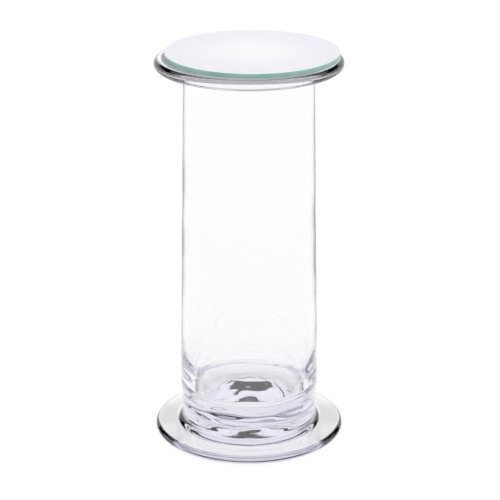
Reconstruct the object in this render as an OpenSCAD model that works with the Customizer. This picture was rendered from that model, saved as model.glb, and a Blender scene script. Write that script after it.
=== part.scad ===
// Laboratory gas jar: a blown cylinder on a solid foot, with a ground top flange
// and a loose ground-glass cover disc that closes it. Millimetres, +Z up.
// The origin is the centre of the foot's underside.

/* [Jar] */
// Height of the jar, from the surface it stands on to the ground face of its flange
jar_h = 150; // [110:1:300]
// Radius of the straight bore
bore_r = 23.7; // [18:0.1:26]
// Wall of the tube just under the flange, where the glass was drawn thinnest
wall_top = 0.9; // [0.8:0.1:3]
// Wall of the tube low down, just above the solid base
wall_low = 3.1; // [1.5:0.1:4]

/* [Flange] */
// Outer radius of the flange
flange_r = 35.4; // [33:0.1:42]
// Thickness of the flange at its rolled edge
flange_t = 3.85; // [3.8:0.05:6]
// Radius of the two round corners at the flange's edge
flange_roll_r = 1.9; // [0.5:0.05:1.9]
// Radius of the trumpet mouth, where the bore turns out to the ground face
mouth_r = 2.6; // [1.5:0.1:4]
// Radius of the soft inside corner between the tube and the flange's underside
collar_r = 3; // [1.5:0.1:6]

/* [Base] */
// Thickness of solid glass from the surface the jar stands on to the middle of the bore's floor
base_t = 21; // [16:0.1:30]
// How far the humped floor falls from its middle to its rim
floor_drop = 3.5; // [1:0.1:5]
// Width of the level ring between the hump and the round corner of the floor
floor_ring_w = 0.8; // [0.3:0.1:2]
// Radius of the round corner between the bore and its floor
floor_corner_r = 3.5; // [1.5:0.1:6]
// How much thicker the wall grows inside, down to that corner
heel_w = 1; // [0.2:0.1:2]
// Height over which the wall grows
heel_h = 14; // [6:0.5:25]
// Height of the waist, the narrowest ring of the solid base
waist_z = 9.6; // [8.5:0.1:12]
// Depth of the waist, measured in from the tube's own outside
waist_depth = 0.7; // [0.3:0.1:1.5]
// Radius of the hollow under the base, at the surface it stands on
punt_r = 12; // [8:0.1:18]
// Slope of that hollow's sides, in degrees: it is a low cone
punt_slope = 17; // [10:1:25]
// Radius of the round tip of the hollow
punt_tip_r = 16; // [4:0.5:18]

/* [Foot] */
// Outer radius of the foot
foot_r = 36.8; // [34:0.1:45]
// Thickness of the foot's plate, whose edge is a full round
foot_t = 3.4; // [2.6:0.1:5]
// Rise of the foot's top face from its edge to the stem
foot_rise = 0.6; // [0:0.1:1.5]
// Radius of the hollow corner between the foot and the stem
stem_corner_r = 3; // [2:0.1:4]

/* [Cover] */
// Radius of the cover disc
cover_r = 32.6; // [30:0.1:40]
// Thickness of the cover disc
cover_t = 2; // [1.5:0.1:5]
// Chamfer ground round both edges of the cover disc
cover_chamfer = 0.2; // [0.1:0.05:0.5]
// How far the cover lies off the jar's axis to the right
cover_shift_x = 1.2; // [-3:0.1:3]
// How far the cover lies off the jar's axis to the back
cover_shift_y = 1.5; // [-3:0.1:3]

/* [Hidden] */
$fn = 128;

// Outside of the tube at its two ends
tube_low_r = bore_r + wall_low;
tube_top_r = bore_r + wall_top;
// Rim of the bore's floor: its height, and the radius where the round corner starts
floor_z = base_t - floor_drop;
floor_r = bore_r - heel_w - floor_corner_r;
// Sphere of the floor's hump, which meets the level ring at its foot
hump_foot_r = floor_r - floor_ring_w;
hump_r = (hump_foot_r * hump_foot_r + floor_drop * floor_drop) / (2 * floor_drop);
// Height of the bore's floor corner, from which the tube rises
tube_low_z = floor_z + floor_corner_r;
// Underside of the flange, and the radius of the centres of its round corners
flange_z = jar_h - flange_t;
flange_roll_c = flange_r - flange_roll_r;
// Centre of the collar's inside corner
collar_c = tube_top_r + collar_r;
collar_z = flange_z - collar_r;
// Centre of the foot's round edge
foot_edge_c = foot_r - foot_t / 2;
// Waist of the solid base
waist_r = tube_low_r - waist_depth;
// Height of the foot's top face at the stem, and the centre of the hollow corner there
stem_z = foot_t + foot_rise;
stem_corner_z = stem_z + stem_corner_r;
stem_corner_c = waist_r + stem_corner_r;
// Where the cone of the hollow underneath meets its round tip, and that tip's centre
punt_tip_edge = punt_tip_r * sin(punt_slope);
punt_cone_h = (punt_r - punt_tip_edge) * tan(punt_slope);
punt_tip_z = punt_cone_h - punt_tip_r * cos(punt_slope);
// Overshoot of cutters past the faces they cut
cut = 1;

// Half section of the solid foot, as a plate with a full round edge
module foot_section() {
    square([foot_edge_c, foot_t]);
    translate([foot_edge_c, foot_t / 2]) circle(r = foot_t / 2);
    polygon([[0, foot_t / 2], [foot_edge_c, foot_t / 2], [foot_edge_c, foot_t],
        [stem_corner_c, stem_z], [0, stem_z]]);
}

// Half section of the stem: it flares from the foot to the waist, then out to the tube
module stem_section() {
    difference() {
        square([stem_corner_c, stem_corner_z]);
        translate([stem_corner_c, stem_corner_z]) circle(r = stem_corner_r);
    }
    polygon([[0, stem_z], [waist_r, stem_corner_z], [waist_r, waist_z],
        [tube_low_r, floor_z], [tube_low_r, tube_low_z], [0, tube_low_z]]);
}

// Half section of the tube's outside, thinner towards the top
module tube_section() {
    polygon([[0, floor_z], [tube_low_r, floor_z], [tube_low_r, tube_low_z],
        [tube_top_r, collar_z], [tube_top_r, jar_h], [0, jar_h]]);
}

// Half section of the flange: a plate with round corners, and the collar under it
module flange_section() {
    translate([0, flange_z]) square([flange_roll_c, flange_t]);
    translate([0, flange_z + flange_roll_r]) square([flange_r, flange_t - 2 * flange_roll_r]);
    for (z = [flange_z + flange_roll_r, jar_h - flange_roll_r])
        translate([flange_roll_c, z]) circle(r = flange_roll_r);
    difference() {
        translate([0, collar_z]) square([collar_c, collar_r + flange_t / 2]);
        translate([collar_c, collar_z]) circle(r = collar_r);
    }
}

// Half section of the bore: a humped floor with a round corner, a wall that thins out
// above it, and a trumpet mouth
module bore_section() {
    difference() {
        union() {
            translate([0, floor_z]) square([floor_r, jar_h]);
            translate([floor_r, tube_low_z]) circle(r = floor_corner_r);
            polygon([[0, tube_low_z], [bore_r - heel_w, tube_low_z], [bore_r, tube_low_z + heel_h],
                [bore_r, jar_h + cut], [0, jar_h + cut]]);
        }
        translate([0, base_t - hump_r]) circle(r = hump_r);
    }
    difference() {
        translate([0, jar_h - mouth_r]) square([bore_r + mouth_r, mouth_r + cut]);
        translate([bore_r + mouth_r, jar_h - mouth_r]) circle(r = mouth_r);
    }
}

// Half section of the hollow under the base: a low cone with a round tip
module punt_section() {
    polygon([[0, -cut], [punt_r + cut / tan(punt_slope), -cut],
        [punt_tip_edge, punt_cone_h], [0, punt_cone_h]]);
    intersection() {
        translate([0, punt_tip_z]) circle(r = punt_tip_r);
        square([punt_tip_edge, punt_cone_h + punt_tip_r]);
    }
}

// The blown jar, one piece of glass from the foot to the flange
module gas_jar() {
    color([0.92, 0.93, 0.97, 0.35])
    rotate_extrude() {
        difference() {
            union() {
                foot_section();
                stem_section();
                tube_section();
                flange_section();
            }
            bore_section();
            punt_section();
        }
    }
}

// The loose cover: a flat disc of sheet glass that rests on the flange's ground face
module cover_plate() {
    color([0.62, 0.82, 0.79, 0.8])
    translate([cover_shift_x, cover_shift_y, jar_h])
    rotate_extrude()
    polygon([[0, 0], [cover_r - cover_chamfer, 0], [cover_r, cover_chamfer],
        [cover_r, cover_t - cover_chamfer], [cover_r - cover_chamfer, cover_t], [0, cover_t]]);
}

gas_jar();
cover_plate();
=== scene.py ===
"""Looks of the gas jar: clear blown glass with a ground rim, and a loose ground-glass cover."""
import bpy
import math
from mathutils import Matrix, Vector, noise


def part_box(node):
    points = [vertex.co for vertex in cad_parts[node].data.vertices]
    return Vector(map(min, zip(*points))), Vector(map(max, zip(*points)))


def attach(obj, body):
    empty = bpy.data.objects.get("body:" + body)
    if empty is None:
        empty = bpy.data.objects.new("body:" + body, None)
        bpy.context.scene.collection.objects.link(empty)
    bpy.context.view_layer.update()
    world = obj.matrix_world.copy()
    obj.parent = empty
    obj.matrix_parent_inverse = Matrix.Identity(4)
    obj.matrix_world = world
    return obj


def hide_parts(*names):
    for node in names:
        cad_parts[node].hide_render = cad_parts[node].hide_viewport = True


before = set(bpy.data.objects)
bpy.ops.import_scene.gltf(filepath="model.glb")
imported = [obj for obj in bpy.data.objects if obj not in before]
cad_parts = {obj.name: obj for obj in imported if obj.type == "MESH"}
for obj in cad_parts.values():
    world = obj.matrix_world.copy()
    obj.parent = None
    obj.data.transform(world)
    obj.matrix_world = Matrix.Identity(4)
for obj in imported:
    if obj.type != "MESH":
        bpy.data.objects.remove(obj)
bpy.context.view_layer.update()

MM = 0.001

# Sizes of the jar, in metres: the same values that the construction is built from
JAR_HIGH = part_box("gas_jar")[1]
JAR_H = JAR_HIGH.z
FOOT_R = min(JAR_HIGH.x, JAR_HIGH.y)
FOOT_T = 3.4 * MM
FOOT_RISE = 0.6 * MM
STEM_CORNER_R = 3 * MM
BORE_R = 23.7 * MM
WALL_TOP = 0.9 * MM
WALL_LOW = 3.1 * MM
FLANGE_R = 35.4 * MM
FLANGE_T = 3.85 * MM
FLANGE_ROLL_R = 1.9 * MM
MOUTH_R = 2.6 * MM
COLLAR_R = 3 * MM
BASE_T = 21 * MM
FLOOR_DROP = 3.5 * MM
FLOOR_CORNER_R = 3.5 * MM
HEEL_W = 1.0 * MM
HEEL_H = 14 * MM
WAIST_Z = 9.6 * MM
WAIST_DEPTH = 0.7 * MM
PUNT_R = 12 * MM
PUNT_TIP_R = 16 * MM
PUNT_SLOPE = 17  # degrees

# Sizes of the cover
COVER_LOW, COVER_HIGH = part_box("cover_plate")
COVER_CENTRE = (COVER_LOW + COVER_HIGH) / 2
COVER_R = (COVER_HIGH.x - COVER_LOW.x) / 2
COVER_CHAMFER = 0.2 * MM

# Hand-blown irregularity. The scales are noise cells for each metre.
SWELL = 0.16 * MM  # slow swellings all over
SWELL_SCALE = 70
SWELL_SEED = Vector((3, 7, 1))
CORD = 0.3 * MM  # cords, drawn round the jar low down, which fade out at CORD_TOP
CORD_TOP = 40 * MM
CORD_SCALE_ACROSS = 85
CORD_SCALE_UP = 480
CORD_SCALE_OUT = 100
WRINKLE = 0.012 * MM  # wrinkles in the hollow under the base
WRINKLE_SCALE_X = 220
WRINKLE_SCALE_Y = 650
WRINKLE_SEED = 2.0
WRINKLE_RIM = 4  # they fade out over the outer quarter of the hollow's radius
HOLLOW_TOP = 5 * MM  # inside PUNT_R, everything below this height is the hollow
# The foot's edge and the jar's two ends stay true, so that they keep to the construction
TRUE_EDGE_W = 3 * MM
TRUE_EDGE_FADE = 4 * MM
TRUE_FOOT_FADE = 2 * MM
TRUE_TOP_FADE = 6 * MM

# Fineness of the meshes, and the lengths that count as nothing
TURN_STEPS = 288
ARC_STEP = math.radians(9)
TIP_STEP = math.radians(1.5)
HUMP_STEP = math.radians(1.0)
SAME_POINT = 1e-7
TINY = 1e-9

# Material slots of the two meshes
CLEAR, GROUND = 0, 1
FACE, EDGE, CHAMFER = 0, 1, 2

GLASS_IOR = 1.52

# Camera
LENS_MM = 133.5
SENSOR_MM = 36
CAMERA_PLACE = (0.00037, -0.6682, 0.3225)
CAMERA_PITCH = 20.42  # degrees down from level

# Studio. The glass sees the room as stops of (sine of the elevation, level, level of blue).
FLOOR_HALF_W = 6.0
FLOOR_GAP = 0.0001
ROOM = [(0.0, 1.0, 1.03), (0.33, 1.0, 1.03), (0.38, 0.02, 0.0206), (0.56, 0.02, 0.0206),
        (0.60, 1.0, 1.03), (1.0, 1.1, 1.12)]
# The two dark cards, in the camera's space: how far out they stand to each side, and their
# lower and upper ends as (y, nearer z, farther z)
CARD_X = 0.045
CARD_LOW_END = (-0.12, -0.712, -0.756)
CARD_TOP_END = (-0.06, -0.732, -0.738)
GLASS_BOUNCES = 24
CLEAR_BOUNCES = 16
GLOSSY_BOUNCES = 12
GLOSS_FILTER = 0.5


# ---------------------------------------------------------------- shapes

def arc(cx, cz, r, start, end, step=ARC_STEP):
    """Points (radius, height) along an arc; the angles are in degrees."""
    a0, a1 = math.radians(start), math.radians(end)
    count = max(2, math.ceil(abs(a1 - a0) / step))
    return [(cx + r * math.cos(a0 + (a1 - a0) * i / count),
             cz + r * math.sin(a0 + (a1 - a0) * i / count)) for i in range(count + 1)]


def span(a, b, count):
    """Points along the straight from a to b in that many steps, without b."""
    return [(a[0] + (b[0] - a[0]) * i / count, a[1] + (b[1] - a[1]) * i / count)
            for i in range(count)]


def eased(a, b, count):
    """Points from a to b whose radius eases in and out, for a soft swelling, without b."""
    points = []
    for i in range(count):
        t = i / count
        s = t * t * (3 - 2 * t)
        points.append((a[0] + (b[0] - a[0]) * s, a[1] + (b[1] - a[1]) * t))
    return points


def punt_run():
    """The hollow under the base: a low cone with a rounded tip."""
    slope = math.radians(PUNT_SLOPE)
    tip_edge = PUNT_TIP_R * math.sin(slope)
    cone_h = (PUNT_R - tip_edge) * math.tan(slope)
    tip_c = cone_h - PUNT_TIP_R * math.cos(slope)
    tip = arc(0, tip_c, PUNT_TIP_R, 90, 90 - PUNT_SLOPE, TIP_STEP)
    return tip + span((tip_edge, cone_h), (PUNT_R, 0), 40)


def floor_run():
    """The bore's floor, humped over the hollow beneath it, from its round corner to the axis."""
    flat_r = BORE_R - HEEL_W - FLOOR_CORNER_R
    ball = (flat_r ** 2 + FLOOR_DROP ** 2) / (2 * FLOOR_DROP)
    edge = math.degrees(math.asin(flat_r / ball))
    return arc(0, BASE_T - ball, ball, 90 - edge, 90, HUMP_STEP)


def jar_profile():
    """The jar's half section as one run of points, and the slot of the stretch from each."""
    low_r, top_r = BORE_R + WALL_LOW, BORE_R + WALL_TOP
    waist_r = low_r - WAIST_DEPTH
    stem_c = waist_r + STEM_CORNER_R
    stem_z = FOOT_T + FOOT_RISE
    flange_z = JAR_H - FLANGE_T
    roll_c = FLANGE_R - FLANGE_ROLL_R
    low_z = BASE_T - FLOOR_DROP + FLOOR_CORNER_R
    foot_c = FOOT_R - FOOT_T / 2
    runs = [
        (CLEAR, punt_run()),
        (CLEAR, span((PUNT_R, 0), (foot_c, 0), 12)),
        (CLEAR, arc(foot_c, FOOT_T / 2, FOOT_T / 2, -90, 90)),
        (CLEAR, span((foot_c, FOOT_T), (stem_c, stem_z), 6)),
        (CLEAR, arc(stem_c, stem_z + STEM_CORNER_R, STEM_CORNER_R, 270, 180)),
        (CLEAR, span((waist_r, stem_z + STEM_CORNER_R), (waist_r, WAIST_Z), 4)),
        (CLEAR, eased((waist_r, WAIST_Z), (low_r, low_z), 14)),
        (CLEAR, span((low_r, low_z), (top_r, flange_z - COLLAR_R), 60)),
        (CLEAR, arc(top_r + COLLAR_R, flange_z - COLLAR_R, COLLAR_R, 180, 90)),
        (CLEAR, span((top_r + COLLAR_R, flange_z), (roll_c, flange_z), 5)),
        (CLEAR, arc(roll_c, flange_z + FLANGE_ROLL_R, FLANGE_ROLL_R, -90, 0)),
        (CLEAR, arc(roll_c, JAR_H - FLANGE_ROLL_R, FLANGE_ROLL_R, 0, 90)),
        (GROUND, span((roll_c, JAR_H), (BORE_R + MOUTH_R, JAR_H), 8)),
        (CLEAR, arc(BORE_R + MOUTH_R, JAR_H - MOUTH_R, MOUTH_R, 90, 180)),
        (CLEAR, span((BORE_R, JAR_H - MOUTH_R), (BORE_R, low_z + HEEL_H), 60)),
        (CLEAR, eased((BORE_R, low_z + HEEL_H), (BORE_R - HEEL_W, low_z), 16)),
        (CLEAR, arc(BORE_R - HEEL_W - FLOOR_CORNER_R, low_z, FLOOR_CORNER_R, 0, -90)),
        (CLEAR, floor_run()),
    ]
    points, slots = [], []
    for slot, run in runs:
        for p in run:
            if not points or math.dist(p, points[-1]) >= SAME_POINT:
                points.append(p)
                slots.append(slot)
    return points, slots


def cover_profile():
    """The disc's half section, from the axis beneath to the axis above, and its slots."""
    z0, z1 = COVER_LOW.z, COVER_HIGH.z
    r, c = COVER_R, COVER_CHAMFER
    points = (span((0, z0), (r - c, z0), 14) + [(r - c, z0), (r, z0 + c)]
              + span((r, z0 + c), (r, z1 - c), 4)[1:] + [(r, z1 - c), (r - c, z1)]
              + span((r - c, z1), (0, z1), 14)[1:] + [(0, z1)])
    slots = []
    for (r0, h0), (r1, h1) in zip(points, points[1:]):
        if abs(h0 - h1) < TINY:
            slots.append(FACE)
        elif abs(r0 - r1) < TINY:
            slots.append(EDGE)
        else:
            slots.append(CHAMFER)
    return points, slots


def add_object(name, data):
    """An object of that mesh or camera, in the scene."""
    thing = bpy.data.objects.new(name, data)
    bpy.context.scene.collection.objects.link(thing)
    return thing


def lathe(name, points, slots, materials, wobble=None):
    """A closed turned mesh from a half section whose two ends lie on the axis."""
    verts, faces, face_slots = [], [], []
    ring_of = []
    for r, z in points:
        if r < TINY:
            ring_of.append([len(verts)])
            verts.append((0.0, 0.0, z))
            continue
        ring_of.append(list(range(len(verts), len(verts) + TURN_STEPS)))
        for k in range(TURN_STEPS):
            a = 2 * math.pi * k / TURN_STEPS
            p = Vector((r * math.cos(a), r * math.sin(a), z))
            verts.append(tuple(p + wobble(p) if wobble else p))
    for i in range(len(points) - 1):
        lower, upper = ring_of[i], ring_of[i + 1]
        for k in range(TURN_STEPS):
            n = (k + 1) % TURN_STEPS
            if len(lower) == 1:
                faces.append((lower[0], upper[n], upper[k]))
            elif len(upper) == 1:
                faces.append((lower[k], lower[n], upper[0]))
            else:
                faces.append((lower[k], lower[n], upper[n], upper[k]))
            face_slots.append(slots[i])
    mesh = bpy.data.meshes.new(name)
    mesh.from_pydata(verts, [], faces)
    for m in materials:
        mesh.materials.append(m)
    mesh.polygons.foreach_set("material_index", face_slots)
    mesh.polygons.foreach_set("use_smooth", [True] * len(faces))
    mesh.update()
    return add_object(name, mesh)


def wrinkle(p):
    """Height of the wrinkles at p, a point of the hollow under the base."""
    fade = max(0.0, 1 - math.hypot(p.x, p.y) / PUNT_R)
    cell = Vector((p.x * WRINKLE_SCALE_X, p.y * WRINKLE_SCALE_Y, WRINKLE_SEED))
    return WRINKLE * min(1.0, WRINKLE_RIM * fade) * noise.noise(cell)


def blown(p):
    """How far hand-blown glass strays from a true turning at p, a point off the axis."""
    r = math.hypot(p.x, p.y)
    if r < PUNT_R and p.z < HOLLOW_TOP:
        return Vector((0, 0, wrinkle(p)))
    swell = SWELL * noise.noise(p * SWELL_SCALE + SWELL_SEED)
    low = max(0.0, 1 - p.z / CORD_TOP)
    cell = Vector((p.x * CORD_SCALE_ACROSS, p.y * CORD_SCALE_ACROSS,
                   p.z * CORD_SCALE_UP + r * CORD_SCALE_OUT))
    cords = CORD * low * noise.noise(cell)
    off_edge = min(1.0, max(0.0, (FOOT_R - TRUE_EDGE_W - r) / TRUE_EDGE_FADE))
    off_ends = max(0.0, min(1.0, p.z / TRUE_FOOT_FADE, (JAR_H - p.z) / TRUE_TOP_FADE))
    return Vector((p.x / r, p.y / r, 0)) * (swell + cords) * off_edge * off_ends


# ---------------------------------------------------------------- materials

def new_material(name):
    m = bpy.data.materials.new(name)
    m.use_nodes = True
    return m, m.node_tree, m.node_tree.nodes["Principled BSDF"]


def object_place(nt):
    """The place in the object's own space, in metres, as a socket."""
    return nt.nodes.new("ShaderNodeTexCoord").outputs["Object"]


def noise_texture(nt, place, scale, detail=2.0):
    """A noise node of that scale, over the places that a socket gives."""
    tex = nt.nodes.new("ShaderNodeTexNoise")
    tex.inputs["Scale"].default_value = scale
    tex.inputs["Detail"].default_value = detail
    nt.links.new(place, tex.inputs["Vector"])
    return tex


def relief(nt, shader, tex, strength, distance):
    """Fine relief of the surface, whose height is the noise."""
    bump = nt.nodes.new("ShaderNodeBump")
    bump.inputs["Strength"].default_value = strength
    bump.inputs["Distance"].default_value = distance
    nt.links.new(tex.outputs["Fac"], bump.inputs["Height"])
    nt.links.new(bump.outputs["Normal"], shader.inputs["Normal"])


def colour_ramp(nt, factor, stops, interpolation="LINEAR"):
    """Colours along a ramp, as a socket. The stops are (position, (red, green, blue))."""
    node = nt.nodes.new("ShaderNodeValToRGB")
    ramp = node.color_ramp
    ramp.interpolation = interpolation
    ramp.elements[0].position = stops[0][0]
    ramp.elements[1].position = stops[-1][0]
    for position, _ in stops[1:-1]:
        ramp.elements.new(position)
    for element, (_, colour) in zip(ramp.elements, stops):
        element.color = (*colour, 1)
    nt.links.new(factor, node.inputs["Fac"])
    return node.outputs["Color"]


def clear_glass():
    """Blown soda glass: clear, faintly lilac in depth, with long drawn waves and wipe marks."""
    m, nt, s = new_material("clear_glass")
    s.inputs["Base Color"].default_value = (0.985, 0.983, 0.99, 1)
    s.inputs["IOR"].default_value = GLASS_IOR
    s.inputs["Transmission Weight"].default_value = 1.0
    place = object_place(nt)
    drawn = nt.nodes.new("ShaderNodeMapping")
    drawn.inputs["Scale"].default_value = (160, 160, 45)
    nt.links.new(place, drawn.inputs["Vector"])
    waves = noise_texture(nt, drawn.outputs["Vector"], scale=1.0)
    relief(nt, s, waves, strength=0.25, distance=0.00004)
    marks = noise_texture(nt, place, scale=260.0, detail=4.0)
    rough = nt.nodes.new("ShaderNodeMapRange")
    rough.inputs["From Min"].default_value = 0.45
    rough.inputs["From Max"].default_value = 0.8
    rough.inputs["To Min"].default_value = 0.0
    rough.inputs["To Max"].default_value = 0.04
    nt.links.new(marks.outputs["Fac"], rough.inputs["Value"])
    nt.links.new(rough.outputs["Result"], s.inputs["Roughness"])
    tint = nt.nodes.new("ShaderNodeVolumeAbsorption")
    tint.inputs["Color"].default_value = (0.73, 0.72, 0.83, 1)
    tint.inputs["Density"].default_value = 14.0
    nt.links.new(tint.outputs["Volume"], nt.nodes["Material Output"].inputs["Volume"])
    return m


def ground_glass():
    """The flange's face, ground matt so that the cover seals on it."""
    m, nt, s = new_material("ground_rim")
    s.inputs["Base Color"].default_value = (0.60, 0.59, 0.64, 1)
    s.inputs["Roughness"].default_value = 0.6
    s.inputs["IOR"].default_value = GLASS_IOR
    s.inputs["Transmission Weight"].default_value = 0.35
    grain = noise_texture(nt, object_place(nt), scale=2600.0, detail=3.0)
    relief(nt, s, grain, strength=0.35, distance=0.00004)
    return m


def plate_face():
    """The cover's flat faces: polished above, ground beneath, so the disc looks milky. Their
    milky colour also carries painted light: lighter in the middle, with painted shade darkening
    it toward the rim.
    """
    m, nt, s = new_material("plate_face")
    s.inputs["Roughness"].default_value = 0.4
    s.inputs["Specular IOR Level"].default_value = 0.1
    s.inputs["Coat Weight"].default_value = 0.08
    s.inputs["Coat Roughness"].default_value = 0.05
    place = object_place(nt)
    grain = noise_texture(nt, place, scale=2600.0, detail=3.0)
    relief(nt, s, grain, strength=0.12, distance=0.00003)
    # Painted light: a radial ramp makes the face's colour lighter in the middle and darker
    # toward the rim, a painted shade over its milky colour.
    from_centre = nt.nodes.new("ShaderNodeMapping")
    from_centre.vector_type = "TEXTURE"
    from_centre.inputs["Location"].default_value = COVER_CENTRE
    from_centre.inputs["Scale"].default_value = (COVER_R, COVER_R, COVER_R)
    nt.links.new(place, from_centre.inputs["Vector"])
    radial = nt.nodes.new("ShaderNodeTexGradient")
    radial.gradient_type = "SPHERICAL"
    nt.links.new(from_centre.outputs["Vector"], radial.inputs["Vector"])
    milk_and_painted_shade = colour_ramp(nt, radial.outputs["Fac"], [(0.0, (0.90, 0.895, 0.945)),
        (0.25, (0.915, 0.91, 0.96)), (0.75, (0.99, 0.985, 1.0))], "EASE")
    cloud = noise_texture(nt, place, scale=60.0)
    tone = nt.nodes.new("ShaderNodeMix")
    tone.data_type = "RGBA"
    tone.blend_type = "MULTIPLY"
    tone.inputs["Factor"].default_value = 0.04
    nt.links.new(milk_and_painted_shade, tone.inputs[6])
    nt.links.new(cloud.outputs["Color"], tone.inputs[7])
    nt.links.new(tone.outputs[2], s.inputs["Base Color"])
    return m


def plate_edge():
    """The cover's cut edge, where the green of sheet glass shows in depth."""
    m, nt, s = new_material("plate_edge")
    s.inputs["Roughness"].default_value = 0.3
    s.inputs["Transmission Weight"].default_value = 0.15
    place = object_place(nt)
    grain = noise_texture(nt, place, scale=900.0, detail=3.0)
    relief(nt, s, grain, strength=0.3, distance=0.00006)
    cloud = noise_texture(nt, place, scale=140.0)
    green = colour_ramp(nt, cloud.outputs["Fac"],
                        [(0.3, (0.27, 0.50, 0.455)), (0.7, (0.40, 0.62, 0.58))])
    nt.links.new(green, s.inputs["Base Color"])
    return m


def plate_chamfer():
    """The narrow chamfers ground round the cover's edges: a painted highlight, a pale cyan line
    standing in for the glint along the edge, with a coarse grain.
    """
    m, nt, s = new_material("plate_chamfer")
    s.inputs["Roughness"].default_value = 0.35
    grain = noise_texture(nt, object_place(nt), scale=1800.0, detail=3.0)
    relief(nt, s, grain, strength=0.3, distance=0.00004)
    # Painted highlight: the chamfers' pale colour stands in for light glinting along the cover's
    # edges.
    painted_highlight = colour_ramp(nt, grain.outputs["Fac"],
                         [(0.3, (0.76, 0.90, 0.90)), (0.7, (0.88, 0.96, 0.96))])
    nt.links.new(painted_highlight, s.inputs["Base Color"])
    return m


# ---------------------------------------------------------------- pieces

def make_jar():
    points, slots = jar_profile()
    return lathe("jar_glass", points, slots, [clear_glass(), ground_glass()], blown)


def make_cover():
    points, slots = cover_profile()
    piece = lathe("cover_disc", points, slots, [plate_face(), plate_edge(), plate_chamfer()])
    piece.data.transform(Matrix.Translation((COVER_CENTRE.x, COVER_CENTRE.y, 0)))
    smooth = [p.material_index == EDGE for p in piece.data.polygons]
    piece.data.polygons.foreach_set("use_smooth", smooth)
    return piece


# ---------------------------------------------------------------- studio

def make_camera():
    """A long lens a little above the jar, looking down on its cover."""
    data = bpy.data.cameras.new("camera")
    data.sensor_width = SENSOR_MM
    data.lens = LENS_MM
    cam = add_object("camera", data)
    cam.location = CAMERA_PLACE
    cam.rotation_euler = (math.radians(90 - CAMERA_PITCH), 0, 0)
    bpy.context.scene.camera = cam
    return cam


def make_floor():
    """A white floor that glows, so that the jar's shadow on it is faint."""
    w = FLOOR_HALF_W
    corners = [(x, y, -FLOOR_GAP) for x, y in ((-w, -w), (w, -w), (w, w), (-w, w))]
    mesh = bpy.data.meshes.new("floor")
    mesh.from_pydata(corners, [], [(0, 1, 2, 3)])
    m, nt, s = new_material("floor")
    s.inputs["Base Color"].default_value = (0.12, 0.12, 0.12, 1)
    s.inputs["Roughness"].default_value = 0.9
    s.inputs["Specular IOR Level"].default_value = 0.1
    s.inputs["Emission Color"].default_value = (1, 1, 1, 1)
    s.inputs["Emission Strength"].default_value = 0.9
    mesh.materials.append(m)
    add_object("floor", mesh)


def make_world():
    """A white studio. In the glass it shows as a white room with one dark band round it."""
    world = bpy.data.worlds.new("studio")
    world.use_nodes = True
    nt = world.node_tree
    plain = nt.nodes["Background"]
    plain.inputs["Color"].default_value = (1, 1, 1, 1)
    plain.inputs["Strength"].default_value = 1.0
    room = nt.nodes.new("ShaderNodeBackground")
    coords = nt.nodes.new("ShaderNodeTexCoord")
    split = nt.nodes.new("ShaderNodeSeparateXYZ")
    nt.links.new(coords.outputs["Generated"], split.inputs["Vector"])
    walls = colour_ramp(nt, split.outputs["Z"],
                        [(sine, (level, level, blue)) for sine, level, blue in ROOM])
    nt.links.new(walls, room.inputs["Color"])
    path = nt.nodes.new("ShaderNodeLightPath")
    sees_plain = nt.nodes.new("ShaderNodeMath")
    sees_plain.operation = "MAXIMUM"
    nt.links.new(path.outputs["Is Camera Ray"], sees_plain.inputs[0])
    nt.links.new(path.outputs["Is Diffuse Ray"], sees_plain.inputs[1])
    mix = nt.nodes.new("ShaderNodeMixShader")
    nt.links.new(sees_plain.outputs["Value"], mix.inputs["Fac"])
    nt.links.new(room.outputs["Background"], mix.inputs[1])
    nt.links.new(plain.outputs["Background"], mix.inputs[2])
    nt.links.new(mix.outputs["Shader"], nt.nodes["World Output"].inputs["Surface"])
    bpy.context.scene.world = world


def make_cards(cam):
    """Two upright dark cards of the studio set, one on each side, seen only in the glass."""
    m, nt, s = new_material("flag")
    s.inputs["Base Color"].default_value = (0.01, 0.01, 0.012, 1)
    s.inputs["Roughness"].default_value = 1.0
    s.inputs["Specular IOR Level"].default_value = 0.0
    low_y, low_near, low_far = CARD_LOW_END
    top_y, top_near, top_far = CARD_TOP_END
    for side, x in (("left", -CARD_X), ("right", CARD_X)):
        mesh = bpy.data.meshes.new("flag_" + side)
        corners = [(x, low_y, low_near), (x, low_y, low_far),
                   (x, top_y, top_far), (x, top_y, top_near)]
        mesh.from_pydata(corners, [], [(0, 1, 2, 3)])
        mesh.materials.append(m)
        card = add_object("flag_" + side, mesh)
        card.parent = cam
        card.visible_camera = False
        card.visible_diffuse = False
        card.visible_shadow = False


def make_view():
    """Plain colours, and enough bounces for the thick glass of the base."""
    bpy.context.scene.view_settings.view_transform = "Standard"
    cycles = bpy.context.scene.cycles
    cycles.max_bounces = GLASS_BOUNCES
    cycles.transmission_bounces = GLASS_BOUNCES
    cycles.transparent_max_bounces = CLEAR_BOUNCES
    cycles.glossy_bounces = GLOSSY_BOUNCES
    cycles.caustics_refractive = True
    cycles.caustics_reflective = True
    cycles.blur_glossy = GLOSS_FILTER
    cycles.use_denoising = True


jar = make_jar()
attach(jar, "root")
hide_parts("gas_jar")
cover = make_cover()
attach(cover, "root")
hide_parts("cover_plate")

camera = make_camera()
make_floor()
make_world()
make_cards(camera)
make_view()
